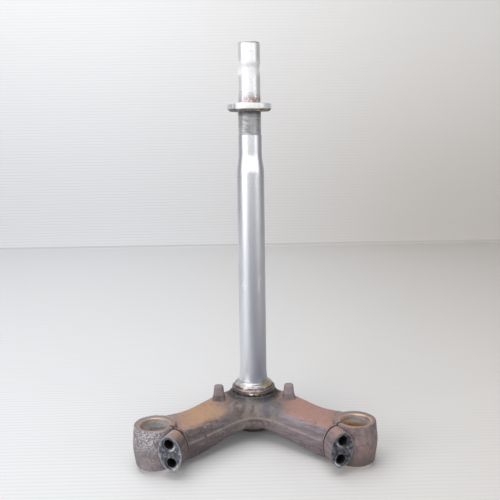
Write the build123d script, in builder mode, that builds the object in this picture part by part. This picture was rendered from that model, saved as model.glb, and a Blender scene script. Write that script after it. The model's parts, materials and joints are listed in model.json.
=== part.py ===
from build123d import *
import os

# Motorcycle lower triple clamp: a forged bridge that carries the steering stem and two fork clamps.
# The origin is on the steering axis, on the machined top face of the bridge. The stem stands on +Z
# and the fork clamps lie in front, on -Y. All sizes are in millimetres.

# Steering stem
stem_dia = 30.0
stem_bore_dia = 23.0
neck_dia = 25.6
thread_dia = 25.0
bar_end_dia = 23.8
bar_end_bore_dia = 15.0
taper_low = 248.0
taper_high = 266.0
thread_low = 287.0
thread_high = 322.0
stem_top = 384.0
bar_groove_height = 356.5
bar_groove_width = 10.6
bar_groove_depth = 1.25
stem_top_round = 2.6
stem_foot_chamfer = 1.0

# Bridge: hub
hub_dia = 64.0
hub_top_dia = 51.4
hub_slope_height = 7.0
hub_edge_round = 3.0
hub_blend_round = 6.0
hub_foot_dia = 38.0
hub_foot_height = 44.0
hub_shoulder_height = 36.0
race_seat_dia = 37.0
race_seat_height = 2.0

# Bridge: arms and forging
fork_spacing = 210.0
fork_offset = 73.0
arm_front_at_hub = 36.5
arm_front = 29.0
arm_front_at_eye = 26.0
arm_rear_at_hub = 30.0
arm_rear = 22.5
arm_rear_at_eye = 22.8
arm_top_at_hub = 1.2
arm_ridge_at_hub = 4.6
arm_low_at_hub = 34.0
arm_top_step = 2.2
arm_ridge_step = 6.4
arm_low_step = 2.6
parting_height = 20.0
forging_draft = 3.4
arm_rounds = (5.0, 12.0, 8.0, 7.0, 7.0, 8.0)
arm_sections = (0.0, 0.22, 0.42, 0.58, 0.76, 0.99)

# Bridge: fork clamps
fork_bore_dia = 31.0
eye_dia = 48.4
eye_back = 3.0
eye_top_drop = 8.2
eye_height = 45.0
eye_draft = 2.2
eye_low_draft = 3.2
eye_edge_round = 1.8
eye_low_round = 3.4
eye_belly_round = 60.0
bore_chamfer = 1.2

# Bridge: pinch ears
ear_turn = 18.0
ear_lean = 7.0
ear_width = 25.0
ear_height = 37.6
ear_rise = 0.9
ear_face_distance = 18.4
ear_face_edge = 0.8
ear_collar = 3.2
ear_root = 11.0
ear_root_taper = 6.0
pinch_distance = 24.3
pinch_spacing = 19.8
pinch_hole_dia = 9.6
pinch_seat_dia = 14.2
pinch_seat_depth = 0.9
pinch_thread_dia = 6.8
pinch_thread_depth = 24.0
slit_width = 2.2

# Bridge: steering stops
stop_spacing = 78.6
stop_forward = 15.5
stop_root_width = 16.4
stop_width = 12.8
stop_head_width = 10.4
stop_thinner = 1.6
stop_height = 11.6
stop_root = 10.0
stop_corner_round = 3.0
stop_head_round = 2.2

# Lower bearing race
race_dia = 48.6
race_height = 11.4
race_top_wall = 0.8
race_rim_height = 3.0
race_track_low = 5.2
race_track_high = 8.8
race_track_depth = 0.7

# Dust seal
seal_dia = 49.4
seal_groove_width = 0.6
seal_groove_depth = 0.9

# Stem nut
nut_dia = 47.4
nut_height = 8.6
nut_low = 312.0
nut_low_bevel = 2.8
nut_top_bevel = 0.7
nut_slot_count = 6
nut_slot_width = 6.4
nut_slot_depth = 3.2
nut_turn = 20.0

# Fits
press_gap = 0.02
thread_gap = 0.05

half_span = fork_spacing / 2
eye_offset = fork_offset - eye_back
eye_mid = -eye_top_drop - eye_height / 2
eye_low = -eye_top_drop - eye_height


def ease(reach, start, end, low, high):
    """Smooth run from a low to a high value, between two shares of an arm's reach."""
    step = min(max((reach - start) / (end - start), 0.0), 1.0)
    return low + (high - low) * step * step * (3.0 - 2.0 * step)


def arm_corners(share):
    """Six corners (y, z) of the forging's upright section, at a share of the way to a fork clamp."""
    reach = abs(share)
    axis_y = -eye_offset * reach
    front = ease(reach, 0.0, 0.3, arm_front_at_hub, arm_front)
    front += ease(reach, 0.6, 0.95, 0.0, arm_front_at_eye - arm_front)
    rear = ease(reach, 0.1, 0.65, arm_rear_at_hub, arm_rear)
    rear += ease(reach, 0.5, 0.95, 0.0, arm_rear_at_eye - arm_rear)
    top = ease(reach, 0.3, 0.84, -arm_top_at_hub, -eye_top_drop - arm_top_step)
    ridge = ease(reach, -0.05, 0.68, -arm_ridge_at_hub, -eye_top_drop - arm_ridge_step)
    parting = ease(reach, 0.05, 0.75, -parting_height, eye_mid)
    low = ease(reach, 0.06, 0.7, -arm_low_at_hub, eye_low + arm_low_step)
    return [
        (axis_y + rear - forging_draft, top),
        (axis_y - front + forging_draft, ridge),
        (axis_y - front, parting),
        (axis_y - front + forging_draft, low),
        (axis_y + rear - forging_draft, low),
        (axis_y + rear, parting),
    ]


def upright_axis(side, forward):
    """Upright axis at a fork clamp, a distance in front of the stem; side is -1 (left) or 1 (right)."""
    return Axis((side * half_span, -forward, 0), (0, 0, 1))


def upright_plane(side, forward):
    """Upright plane through that axis, for profiles that are turned about it."""
    return Plane(origin=(side * half_span, -forward, 0), x_dir=(1, 0, 0), z_dir=(0, -1, 0))


def slit_plane(side):
    """Level plane at one fork clamp's axis, with its x axis along the slit towards the hub."""
    inward = Plane.XY.rotated((0, 0, side * ear_turn)).x_dir * -side
    return Plane(origin=(side * half_span, -fork_offset, 0), x_dir=inward, z_dir=(0, 0, 1))


def pinch_plane(side, distance):
    """Plane across one clamp's two pinch holes, at a distance in front of its slit, facing outward."""
    outward = -Plane.XY.rotated((0, 0, side * ear_turn)).y_dir
    inward = slit_plane(side).x_dir
    centre = Vector(side * half_span, -fork_offset, eye_mid + ear_rise)
    origin = centre + inward * pinch_distance + outward * distance
    leaning = inward.rotate(Axis((0, 0, 0), outward), -side * ear_lean)
    return Plane(origin=origin, x_dir=leaning, z_dir=outward)


# Forged arms: one smooth blank from clamp to clamp, drawn out on both sides of a parting line
with BuildPart() as arms:
    for share in [-share for share in arm_sections[:0:-1]] + list(arm_sections):
        with BuildSketch(Plane.YZ.offset(share * half_span)) as section:
            with BuildLine():
                Polyline(*arm_corners(share), close=True)
            make_face()
            for corner, arm_round in zip(arm_corners(share), arm_rounds):
                fillet(section.vertices().sort_by_distance(corner)[0], radius=arm_round)
    loft()
    # Nothing of an arm stands in front of the plane that its slit is sawn on
    for side in (-1, 1):
        with BuildSketch(pinch_plane(side, 0)):
            Rectangle(2 * ear_height, 2 * ear_height)
        extrude(amount=ear_height, mode=Mode.SUBTRACT)

# Steering stop: a peg with a spreading foot and a rounded head, on the right arm
with BuildPart() as stop:
    for height, width in ((-stop_root, stop_root_width), (0, stop_width), (stop_height, stop_head_width)):
        with BuildSketch(Plane.XY.offset(height)):
            with Locations((stop_spacing / 2, -stop_forward)):
                RectangleRounded(width, width - stop_thinner, stop_corner_round)
    loft()
    fillet(stop.faces().sort_by(Axis.Z)[-1].edges(), radius=stop_head_round)

# Lower bridge: hub, arms, fork clamps, pinch ears and stops, forged in one and then machined
with BuildPart() as lower_bridge:
    add(arms.part)
    with BuildSketch(Plane.XZ) as hub_profile:
        with BuildLine():
            Polyline(
                (0, race_seat_height),
                (race_seat_dia / 2, race_seat_height),
                (race_seat_dia / 2, 0),
                (hub_top_dia / 2, 0),
                (hub_dia / 2, -hub_slope_height),
                (hub_dia / 2, -parting_height),
                (hub_dia / 2 - forging_draft, -hub_shoulder_height),
                (hub_foot_dia / 2 + forging_draft, -hub_shoulder_height),
                (hub_foot_dia / 2, -hub_foot_height),
                (0, -hub_foot_height),
                close=True,
            )
        make_face()
        fillet(hub_profile.vertices().group_by(Axis.X)[-1], radius=hub_edge_round)
    revolve(axis=Axis.Z)
    # The arms' tops run into the hub with a wide round
    hub_joins = lower_bridge.edges(Select.LAST).filter_by(GeomType.BSPLINE)
    hub_joins = hub_joins.filter_by_position(Axis.Z, -parting_height, 0)
    fillet(hub_joins.filter_by_position(Axis.X, -hub_dia / 2, hub_dia / 2), radius=hub_blend_round)
    add(stop.part)
    mirror(stop.part, about=Plane.YZ)
    for side in (-1, 1):
        with BuildSketch(upright_plane(side, eye_offset)) as eye_profile:
            with BuildLine():
                Polyline(
                    (0, -eye_top_drop),
                    (eye_dia / 2 - eye_draft, -eye_top_drop),
                    (eye_dia / 2, eye_mid),
                    (eye_dia / 2 - eye_low_draft, eye_low),
                    (0, eye_low),
                    close=True,
                )
            make_face()
            eye_corners = (
                (-eye_top_drop, eye_draft, eye_edge_round),
                (eye_low, eye_low_draft, eye_low_round),
            )
            for height, draft, corner_round in eye_corners:
                corner = eye_profile.vertices().sort_by_distance((eye_dia / 2 - draft, height))[0]
                fillet(corner, radius=corner_round)
            fillet(eye_profile.vertices().sort_by(Axis.X)[-1], radius=eye_belly_round)
        revolve(axis=upright_axis(side, eye_offset))
        for distance, taper in ((-ear_root, ear_root_taper), (-ear_collar, 0), (ear_face_distance, 0)):
            with BuildSketch(pinch_plane(side, distance)):
                Ellipse(ear_width / 2 - taper, ear_height / 2 - taper)
        loft(ruled=True)
    # Machining: the stem's bore, then each clamp's bore, slit, ear face and pinch-bolt holes
    Hole(stem_dia / 2 + press_gap)
    for side in (-1, 1):
        with BuildSketch(upright_plane(side, fork_offset)):
            with BuildLine():
                Polyline(
                    (0, -eye_top_drop),
                    (fork_bore_dia / 2 + bore_chamfer, -eye_top_drop),
                    (fork_bore_dia / 2, -eye_top_drop - bore_chamfer),
                    (fork_bore_dia / 2, eye_low + bore_chamfer),
                    (fork_bore_dia / 2 + bore_chamfer, eye_low),
                    (0, eye_low),
                    close=True,
                )
            make_face()
        revolve(axis=upright_axis(side, fork_offset), mode=Mode.SUBTRACT)
        with BuildSketch(slit_plane(side)):
            Rectangle(pinch_distance + ear_width, slit_width, align=(Align.MIN, Align.CENTER))
        extrude(amount=eye_low - eye_edge_round, mode=Mode.SUBTRACT)
        with BuildSketch(pinch_plane(side, ear_face_distance)):
            Ellipse(ear_width / 2 - ear_face_edge, ear_height / 2 - ear_face_edge)
        extrude(amount=eye_dia / 2, mode=Mode.SUBTRACT)
        with Locations(pinch_plane(side, ear_face_distance)):
            with GridLocations(0, pinch_spacing, 1, 2):
                CounterBoreHole(
                    pinch_hole_dia / 2,
                    pinch_seat_dia / 2,
                    pinch_seat_depth,
                    depth=ear_face_distance,
                )
        with Locations(pinch_plane(side, 0)):
            with GridLocations(0, pinch_spacing, 1, 2):
                Hole(pinch_thread_dia / 2, depth=pinch_thread_depth)
lower_bridge.part.label = "lower_bridge"

# Steering stem: a swaged tube, threaded below a plain end for the handlebar clamp
with BuildPart() as steering_stem:
    with BuildSketch(Plane.XZ) as stem_profile:
        with BuildLine():
            Polyline(
                (stem_bore_dia / 2, -hub_foot_height),
                (stem_dia / 2 - stem_foot_chamfer, -hub_foot_height),
                (stem_dia / 2, -hub_foot_height + stem_foot_chamfer),
                (stem_dia / 2, taper_low),
                (neck_dia / 2, taper_high),
                (neck_dia / 2, thread_low),
                (thread_dia / 2, thread_low + (neck_dia - thread_dia) / 2),
                (thread_dia / 2, thread_high - (thread_dia - bar_end_dia) / 2),
                (bar_end_dia / 2, thread_high),
                (bar_end_dia / 2, bar_groove_height - bar_groove_width / 2),
            )
            ThreePointArc(
                (bar_end_dia / 2, bar_groove_height - bar_groove_width / 2),
                (bar_end_dia / 2 - bar_groove_depth, bar_groove_height),
                (bar_end_dia / 2, bar_groove_height + bar_groove_width / 2),
            )
            Polyline(
                (bar_end_dia / 2, bar_groove_height + bar_groove_width / 2),
                (bar_end_dia / 2, stem_top),
                (bar_end_bore_dia / 2, stem_top),
                (bar_end_bore_dia / 2, taper_high),
                (stem_bore_dia / 2, taper_low),
                (stem_bore_dia / 2, -hub_foot_height),
            )
        make_face()
        fillet(stem_profile.vertices().group_by(Axis.Y)[-1].sort_by(Axis.X)[-1], radius=stem_top_round)
    revolve(axis=Axis.Z)
steering_stem.part.label = "steering_stem"

# Lower bearing race: a cone with a hollow ball track, pressed down the stem on to its seat
with BuildPart() as lower_bearing_race:
    race_low = race_seat_height
    race_bore = stem_dia / 2 + press_gap
    rim_to_top = race_dia / 2 - race_bore - race_top_wall
    track_slope = rim_to_top / (race_height - race_rim_height)
    track_low_radius = race_dia / 2 - (race_track_low - race_rim_height) * track_slope
    track_high_radius = race_dia / 2 - (race_track_high - race_rim_height) * track_slope
    with BuildSketch(Plane.XZ):
        with BuildLine():
            SagittaArc(
                (track_low_radius, race_low + race_track_low),
                (track_high_radius, race_low + race_track_high),
                -race_track_depth,
            )
            Polyline(
                (track_high_radius, race_low + race_track_high),
                (race_bore + race_top_wall, race_low + race_height),
                (race_bore, race_low + race_height),
                (race_bore, race_low),
                (race_dia / 2, race_low),
                (race_dia / 2, race_low + race_rim_height),
                (track_low_radius, race_low + race_track_low),
            )
        make_face()
    revolve(axis=Axis.Z)
lower_bearing_race.part.label = "lower_bearing_race"

# Dust seal: a rubber ring with two lips, trapped between the race and the bridge
with BuildPart() as dust_seal:
    with BuildSketch(Plane.XZ):
        with BuildLine():
            Polyline(
                (race_seat_dia / 2 + press_gap, 0),
                (seal_dia / 2, 0),
                (seal_dia / 2, (race_seat_height - seal_groove_width) / 2),
                (seal_dia / 2 - seal_groove_depth, race_seat_height / 2),
                (seal_dia / 2, (race_seat_height + seal_groove_width) / 2),
                (seal_dia / 2, race_seat_height),
                (race_seat_dia / 2 + press_gap, race_seat_height),
                close=True,
            )
        make_face()
    revolve(axis=Axis.Z)
dust_seal.part.label = "dust_seal"

# Stem nut: a flat slotted ring on the thread
with BuildPart() as stem_nut:
    with BuildSketch(Plane.XZ):
        with BuildLine():
            Polyline(
                (thread_dia / 2 + thread_gap, nut_low),
                (nut_dia / 2 - nut_low_bevel, nut_low),
                (nut_dia / 2, nut_low + nut_low_bevel),
                (nut_dia / 2, nut_low + nut_height - nut_top_bevel),
                (nut_dia / 2 - nut_top_bevel, nut_low + nut_height),
                (thread_dia / 2 + thread_gap, nut_low + nut_height),
                close=True,
            )
        make_face()
    revolve(axis=Axis.Z)
    with BuildSketch(Plane.XY.offset(nut_low)):
        with PolarLocations(nut_dia / 2, nut_slot_count, start_angle=nut_turn - 90):
            Rectangle(2 * nut_slot_depth, nut_slot_width)
    extrude(amount=nut_height, mode=Mode.SUBTRACT)
stem_nut.part.label = "stem_nut"

os.makedirs("parts", exist_ok=True)
for piece in (lower_bridge, steering_stem, lower_bearing_race, dust_seal, stem_nut):
    export_step(piece.part, "parts/" + piece.part.label + ".step")
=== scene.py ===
"""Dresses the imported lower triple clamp: a rusty forged bridge, a bright steering stem and its bearing parts.

The bridge, the nut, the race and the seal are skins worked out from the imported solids, with forging relief,
worn edges and turned rings. The stem is a turned surface with a real helical thread. Lengths are in metres.
"""
from __future__ import annotations

import functools
import json
import logging
import math
import operator
from dataclasses import dataclass, field
from enum import Enum
from typing import Any, Callable

import bpy
import numpy as np
from mathutils import Matrix, Vector


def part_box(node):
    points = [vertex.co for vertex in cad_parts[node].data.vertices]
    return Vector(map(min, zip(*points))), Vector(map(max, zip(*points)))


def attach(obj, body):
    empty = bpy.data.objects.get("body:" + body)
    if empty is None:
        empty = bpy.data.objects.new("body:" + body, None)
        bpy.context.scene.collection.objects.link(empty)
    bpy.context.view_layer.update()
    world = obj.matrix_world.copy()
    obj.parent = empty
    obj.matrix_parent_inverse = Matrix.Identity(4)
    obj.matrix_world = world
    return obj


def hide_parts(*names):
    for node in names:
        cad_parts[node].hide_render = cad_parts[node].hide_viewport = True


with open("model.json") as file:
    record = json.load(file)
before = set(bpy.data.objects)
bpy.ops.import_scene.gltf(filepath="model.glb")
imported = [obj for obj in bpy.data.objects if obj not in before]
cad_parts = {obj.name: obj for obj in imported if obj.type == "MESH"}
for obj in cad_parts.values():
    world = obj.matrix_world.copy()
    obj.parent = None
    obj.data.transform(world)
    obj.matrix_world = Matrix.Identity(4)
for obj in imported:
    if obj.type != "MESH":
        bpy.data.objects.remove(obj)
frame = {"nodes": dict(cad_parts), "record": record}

MM = 0.001
LOG = logging.getLogger("triple_clamp")
Colour = tuple[float, float, float]
Place = tuple[float, float, float]


class Side(Enum):
    """The two fork clamps, by the sign of their x."""

    LEFT = -1
    RIGHT = 1


class Domain(Enum):
    """What one value of a mesh attribute belongs to."""

    POINT = "POINT"
    FACE = "FACE"


@dataclass(frozen=True)
class Mount:
    """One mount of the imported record: its place, its axis and its wall radius."""

    place: np.ndarray
    axis: np.ndarray
    radius: float

    @staticmethod
    def named(name: str) -> Mount:
        """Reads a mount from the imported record.

        Args:
            name: The mount's name.

        Returns:
            The mount, in metres.
        """
        row = next(m for m in frame["record"]["mounts"] if m["name"] == name)
        radius = row["dims"].get("r_mm", 0.0) * MM
        return Mount(np.array(row["pos_m"], float), np.array(row["axis"], float), radius)


def ease(value: np.ndarray, low: float, high: float) -> np.ndarray:
    """Smooth step from 0 at low to 1 at high: 3t^2 - 2t^3 of the clamped share t."""
    t = np.clip((value - low) / (high - low), 0.0, 1.0)
    return t * t * (3.0 - 2.0 * t)


def lattice_noise(points: np.ndarray, size: float, seed: int) -> np.ndarray:
    """Value noise: hashed values at the corners of cubes of one size, blended by 3t^2 - 2t^3 on each axis.

    Args:
        points: Places, n by 3.
        size: Edge of a cube.
        seed: Picks one pattern.

    Returns:
        One value from 0 to 1 for each place.
    """
    cell = np.floor(points / size).astype(np.int64)
    share = points / size - cell
    share = share * share * (3.0 - 2.0 * share)
    total = np.zeros(len(points))
    for corner in np.ndindex(2, 2, 2):
        step = np.array(corner)
        key = (cell + step) @ np.array([374761393, 668265263, 915488749]) + seed * 1274126177
        key = (key ^ (key >> 13)) * 1274126177
        value = ((key ^ (key >> 16)) & 0xFFFF) / 65535.0
        total += value * np.prod(np.where(step == 1, share, 1.0 - share), axis=1)
    return total


def linked(name: str, data: bpy.types.ID) -> bpy.types.Object:
    """Makes an object of a mesh, a light or a camera and links it to the scene.

    Args:
        name: The object's name.
        data: The mesh, the light or the camera.

    Returns:
        The object.
    """
    made = bpy.data.objects.new(name, data)
    bpy.context.scene.collection.objects.link(made)
    return made


def smooth_mesh(name: str, places: np.ndarray, faces: np.ndarray, crease: float) -> bpy.types.Mesh:
    """Makes a mesh of arrays that is smooth but for its creases.

    Args:
        name: The mesh's name.
        places: The corners, n by 3.
        faces: The faces, as rows of corner numbers.
        crease: Edges that turn by more degrees than this stay sharp.

    Returns:
        The mesh.
    """
    mesh = bpy.data.meshes.new(name)
    mesh.from_pydata(places, [], faces)
    mesh.polygons.foreach_set("use_smooth", np.ones(len(mesh.polygons), bool))
    mesh.set_sharp_from_angle(angle=math.radians(crease))
    mesh.update()
    return mesh


@dataclass
class Skin:
    """A triangle mesh as arrays: places (n by 3), triangles (m by 3) and corner normals (m by 3 by 3)."""

    places: np.ndarray
    triangles: np.ndarray
    normals: np.ndarray
    attributes: dict[str, tuple[Domain, np.ndarray]] = field(default_factory=dict)

    # A midpoint on an edge that turns by less than this is on a smooth surface
    SMOOTH_TURN = math.radians(12)
    # The furthest that a midpoint may move off its edge
    FURTHEST_MOVE = 0.1 * MM
    # Patterns of split edges (01, 12, 20) and the triangles they leave; 3, 4 and 5 are the edges' midpoints
    SPLITS = {
        (0, 0, 0): ((0, 1, 2),),
        (1, 0, 0): ((0, 3, 2), (3, 1, 2)),
        (0, 1, 0): ((0, 1, 4), (0, 4, 2)),
        (0, 0, 1): ((0, 1, 5), (1, 2, 5)),
        (1, 1, 0): ((3, 1, 4), (0, 3, 4), (0, 4, 2)),
        (0, 1, 1): ((4, 2, 5), (0, 1, 4), (0, 4, 5)),
        (1, 0, 1): ((0, 3, 5), (3, 1, 2), (3, 2, 5)),
        (1, 1, 1): ((0, 3, 5), (3, 1, 4), (5, 4, 2), (3, 4, 5)),
    }

    @staticmethod
    def of_node(node: str, weld: float = 1e-6) -> Skin:
        """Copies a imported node's mesh and joins its loose triangles where their corners meet.

        Args:
            node: The node's name.
            weld: Corners closer than this are one place.

        Returns:
            The joined mesh with the node's own corner normals.
        """
        mesh = frame["nodes"][node].data
        places = np.empty(len(mesh.vertices) * 3)
        mesh.vertices.foreach_get("co", places)
        corners = np.empty(len(mesh.loops), np.int64)
        mesh.loops.foreach_get("vertex_index", corners)
        normals = np.empty(len(mesh.loops) * 3)
        mesh.corner_normals.foreach_get("vector", normals)
        places = places.reshape(-1, 3)
        _, first, joined = np.unique(
            np.round(places / weld).astype(np.int64), axis=0, return_index=True, return_inverse=True
        )
        triangles = joined.reshape(-1)[corners].reshape(-1, 3)
        normals = normals.reshape(-1, 3, 3)
        whole = (triangles != np.roll(triangles, 1, axis=1)).all(axis=1)
        return Skin(places[first], triangles[whole], normals[whole])

    def refine(self, longest: float | Callable[[np.ndarray], np.ndarray], rounds: int = 9) -> Skin:
        """Splits edges at their midpoints until none is longer than a limit.

        A midpoint is moved on to the arc that the normals at the edge's ends describe: by a quarter of the
        sum of the ends' offsets along their normals. Across a crease the moves of both sides are added.

        Args:
            longest: The longest edge that may stay, for all places or worked out for the edges' middles.
            rounds: The most rounds of splitting.

        Returns:
            The refined mesh.
        """
        for _ in range(rounds):
            start, end = self.triangles, np.roll(self.triangles, -1, axis=1)
            low, high = np.minimum(start, end), np.maximum(start, end)
            code = low * len(self.places) + high
            known, first, edge = np.unique(code, return_index=True, return_inverse=True)
            edge = edge.reshape(-1, 3)
            a, b = self.places[low.ravel()[first]], self.places[high.ravel()[first]]
            middle = (a + b) / 2
            split = np.linalg.norm(a - b, axis=1) > (longest(middle) if callable(longest) else longest)
            if not split.any():
                break
            n0, n1 = self.normals, np.roll(self.normals, -1, axis=1)
            reach0 = ((self.places[start] - middle[edge]) * n0).sum(-1, keepdims=True) * n0
            reach1 = ((self.places[end] - middle[edge]) * n1).sum(-1, keepdims=True) * n1
            between = n0 + n1
            between /= np.maximum(np.linalg.norm(between, axis=-1, keepdims=True), 1e-9)
            move, facing = np.zeros_like(middle), np.zeros_like(middle)
            np.add.at(move, edge.ravel(), (reach0 + reach1).reshape(-1, 3) / 4)
            np.add.at(facing, edge.ravel(), between.reshape(-1, 3))
            smooth = np.linalg.norm(facing, axis=1) > 2 * math.cos(self.SMOOTH_TURN)
            move[smooth] /= 2
            size = np.linalg.norm(move, axis=1, keepdims=True)
            move *= np.minimum(1.0, self.FURTHEST_MOVE / np.maximum(size, 1e-12))
            number = np.full(len(known), -1)
            number[split] = len(self.places) + np.arange(split.sum())
            six = np.concatenate([self.triangles, number[edge]], axis=1)
            six_normals = np.concatenate([self.normals, between], axis=1)
            triangles, normals = [], []
            for pattern, pieces in self.SPLITS.items():
                chosen = (split[edge] == np.array(pattern, bool)).all(axis=1)
                for piece in pieces:
                    triangles.append(six[chosen][:, piece])
                    normals.append(six_normals[chosen][:, piece])
            self = Skin(
                np.concatenate([self.places, (middle + move)[split]]),
                np.concatenate(triangles),
                np.concatenate(normals),
            )
        return self

    def edges(self) -> np.ndarray:
        """Every edge once, as pairs of places."""
        pairs = np.concatenate([self.triangles, np.roll(self.triangles, -1, axis=1)], axis=0).reshape(2, -1).T
        return np.unique(np.sort(pairs, axis=1), axis=0)

    def spread(self, values: np.ndarray, rounds: int, share: np.ndarray | float = 0.5) -> np.ndarray:
        """Evens values out: in each round a place takes a share from the mean of its neighbours.

        Args:
            values: One row for each place.
            rounds: How often it is done.
            share: The share that is taken, for all places or for each.

        Returns:
            The evened values.
        """
        pairs = self.edges()
        count = np.bincount(pairs.ravel(), minlength=len(self.places)).astype(float)
        count = count.reshape(-1, *[1] * (values.ndim - 1))
        for _ in range(rounds):
            total = np.zeros_like(values)
            np.add.at(total, pairs[:, 0], values[pairs[:, 1]])
            np.add.at(total, pairs[:, 1], values[pairs[:, 0]])
            values = values + share * (total / count - values)
        return values

    def face_frames(self) -> tuple[np.ndarray, np.ndarray]:
        """Works out where the triangles are and how they face: by the cross product of two edges.

        Returns:
            Centre and unit normal of each triangle.
        """
        p = self.places[self.triangles]
        normal = np.cross(p[:, 1] - p[:, 0], p[:, 2] - p[:, 0])
        return p.mean(axis=1), normal / np.maximum(np.linalg.norm(normal, axis=1, keepdims=True), 1e-15)

    def point_normals(self) -> np.ndarray:
        """Works out the normals: the mean of the corners' normals at each place.

        Returns:
            A unit normal for each place.
        """
        total = np.zeros_like(self.places)
        np.add.at(total, self.triangles.ravel(), self.normals.reshape(-1, 3))
        return total / np.maximum(np.linalg.norm(total, axis=1, keepdims=True), 1e-9)

    def touched_by(self, faces: np.ndarray) -> np.ndarray:
        """Marks the places that any of the marked triangles uses.

        Args:
            faces: A mark for each triangle.

        Returns:
            A mark for each place.
        """
        marked = np.zeros(len(self.places), bool)
        marked[self.triangles[faces].ravel()] = True
        return marked

    def crests(self, scale: float, rounds: int) -> tuple[np.ndarray, np.ndarray]:
        """How far each place stands out of, or lies in, its evened surroundings.

        Args:
            scale: The distance that counts as 1.
            rounds: How wide the surroundings are.

        Returns:
            Crest and hollow, each from 0 to 1.
        """
        height = ((self.places - self.spread(self.places, rounds)) * self.point_normals()).sum(axis=1) / scale
        return np.clip(height, 0, 1), np.clip(-height, 0, 1)

    def to_object(self, name: str, crease: float = 30.0) -> bpy.types.Object:
        """Makes a Blender object of the arrays, smooth but for creases.

        Args:
            name: The object's name.
            crease: Edges that turn by more degrees than this stay sharp.

        Returns:
            The object, linked to the scene.
        """
        mesh = smooth_mesh(name, self.places, self.triangles, crease)
        for key, (domain, values) in self.attributes.items():
            layer = mesh.attributes.new(key, "FLOAT", domain.value)
            layer.data.foreach_set("value", values.astype(np.float32))
        return linked(name, mesh)


def turned(
    name: str, radius: np.ndarray, height: np.ndarray, columns: int, crease: float = 38.0
) -> bpy.types.Object:
    """A closed profile carried round the z axis: (r cos a, r sin a, z) on a grid of rows by columns.

    Args:
        name: The object's name.
        radius: A grid with one radius for each row and column.
        height: One height for each row.
        columns: Steps round the axis.
        crease: Edges that turn by more degrees than this stay sharp.

    Returns:
        The object; the last row joins the first, and the last column the first.
    """
    rows = len(height)
    angle = np.linspace(0, math.tau, columns, endpoint=False)
    level = np.broadcast_to(height[:, None], (rows, columns))
    places = np.stack([radius * np.cos(angle), radius * np.sin(angle), level], axis=-1)
    row, column = np.meshgrid(np.arange(rows), np.arange(columns), indexing="ij")
    here, above, beside = row * columns, (row + 1) % rows * columns, (column + 1) % columns
    quads = np.stack([here + column, here + beside, above + beside, above + column], axis=-1)
    return linked(name, smooth_mesh(name, places.reshape(-1, 3), quads.reshape(-1, 4), crease))


class Wire:
    """A shader socket that takes part in plain arithmetic; each operation adds a Math node."""

    def __init__(self, tree: Tree, socket: bpy.types.NodeSocket) -> None:
        """Wraps an output socket of a tree's node."""
        self.tree = tree
        self.socket = socket

    def _math(self, operation: str, *values: Value) -> Wire:
        """Adds one Math node."""
        return self.tree.node("ShaderNodeMath", {"operation": operation}, dict(enumerate(values)))

    def __add__(self, other: Value) -> Wire:
        """Sum."""
        return self._math("ADD", self, other)

    __radd__ = __add__

    def __sub__(self, other: Value) -> Wire:
        """Difference."""
        return self._math("SUBTRACT", self, other)

    def __rsub__(self, other: Value) -> Wire:
        """Difference from a number."""
        return self._math("SUBTRACT", other, self)

    def __mul__(self, other: Value) -> Wire:
        """Product."""
        return self._math("MULTIPLY", self, other)

    __rmul__ = __mul__

    def __pow__(self, other: Value) -> Wire:
        """Power."""
        return self._math("POWER", self, other)

    def __abs__(self) -> Wire:
        """Size without sign."""
        return self._math("ABSOLUTE", self)

    def __or__(self, other: Value) -> Wire:
        """The larger of two masks."""
        return self._math("MAXIMUM", self, other)

    def __and__(self, other: Value) -> Wire:
        """The smaller of two masks."""
        return self._math("MINIMUM", self, other)

    def root(self) -> Wire:
        """Square root."""
        return self._math("SQRT", self)

    def sine(self) -> Wire:
        """Sine of an angle in radians."""
        return self._math("SINE", self)

    def ramp(self, low: float, high: float, first: float = 0.0, last: float = 1.0) -> Wire:
        """Smooth step from one value to another.

        Args:
            low: Up to here the first value holds.
            high: From here on the last value holds.
            first: The first value.
            last: The last value.

        Returns:
            The stepped wire.
        """
        sockets = {"Value": self, "From Min": low, "From Max": high, "To Min": first, "To Max": last}
        return self.tree.node("ShaderNodeMapRange", {"interpolation_type": "SMOOTHSTEP"}, sockets)

    def bump_at(self, place: float, width: float) -> Wire:
        """A soft hump of 1 at one value that falls to 0 a width away on both sides."""
        return abs(self - place).ramp(0.0, width, 1.0, 0.0)


Value = Wire | float


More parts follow.
